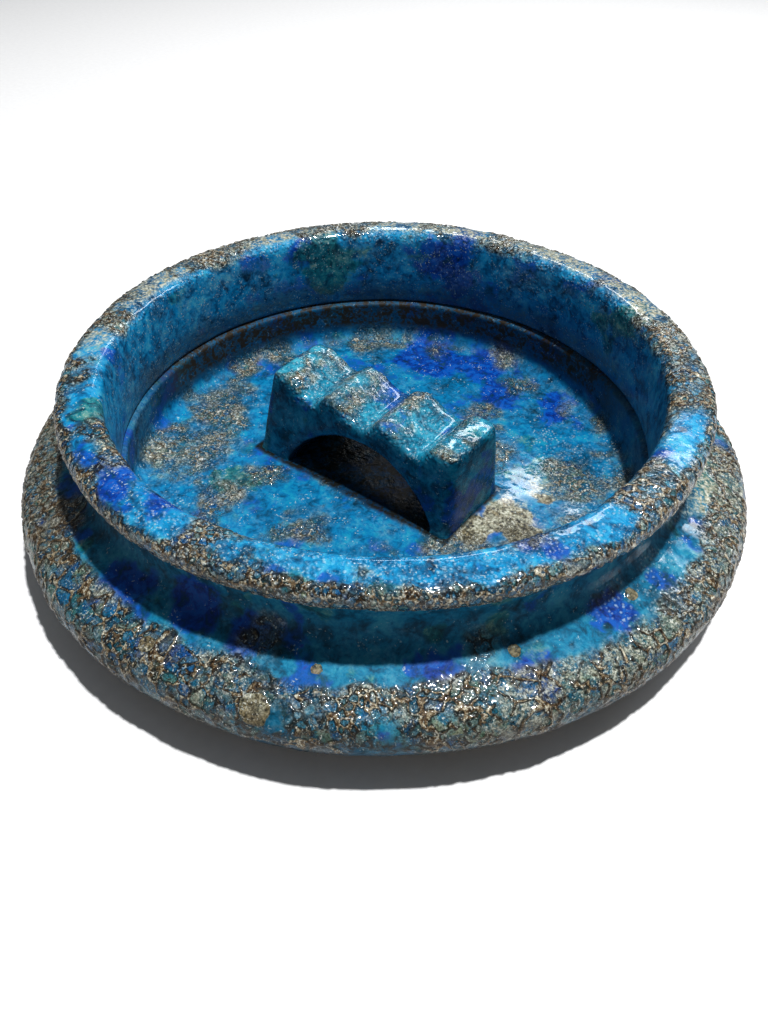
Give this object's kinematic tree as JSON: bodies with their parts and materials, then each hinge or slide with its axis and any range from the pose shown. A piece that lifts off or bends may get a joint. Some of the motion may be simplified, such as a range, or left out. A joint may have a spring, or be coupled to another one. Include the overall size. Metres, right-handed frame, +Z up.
{
  "type": "ashtray",
  "caption": "Round glazed dish with a rolled rim, a concave waist and a wide domed base flange, with an arched bridge-shaped rest that has scalloped grooves across its top.",
  "frame": {"origin": "on the dish's axis, at the plane of the foot ring that it stands on", "axes": "+Z up along the dish's axis; +X along the rest's length, towards its lower end"},
  "size_m": [0.216, 0.216, 0.0493],
  "materials": {
    "foot_clay": "unglazed fired stoneware, matt and slightly gritty",
    "luting_slip": "fired slip, matt",
    "well_coat": "gloss crater glaze, turquoise with cobalt patches",
    "rim_coat": "gloss crater glaze, turquoise and cobalt with tan crust outside",
    "flange_coat": "gloss crater glaze with tan cell ridges, smooth in the waist",
    "rest_coat": "gloss crater glaze, crusted on top and smooth on the sides"
  },
  "bodies": {
    "root": {"base_body": "foot_clay", "rim_body": "foot_clay", "rest_body": "foot_clay", "rim_slip": "luting_slip", "rest_slip": "luting_slip", "well_glaze": "well_coat", "rim_glaze": "rim_coat", "flange_glaze": "flange_coat", "rest_glaze": "rest_coat"}
  },
  "joints": []
}
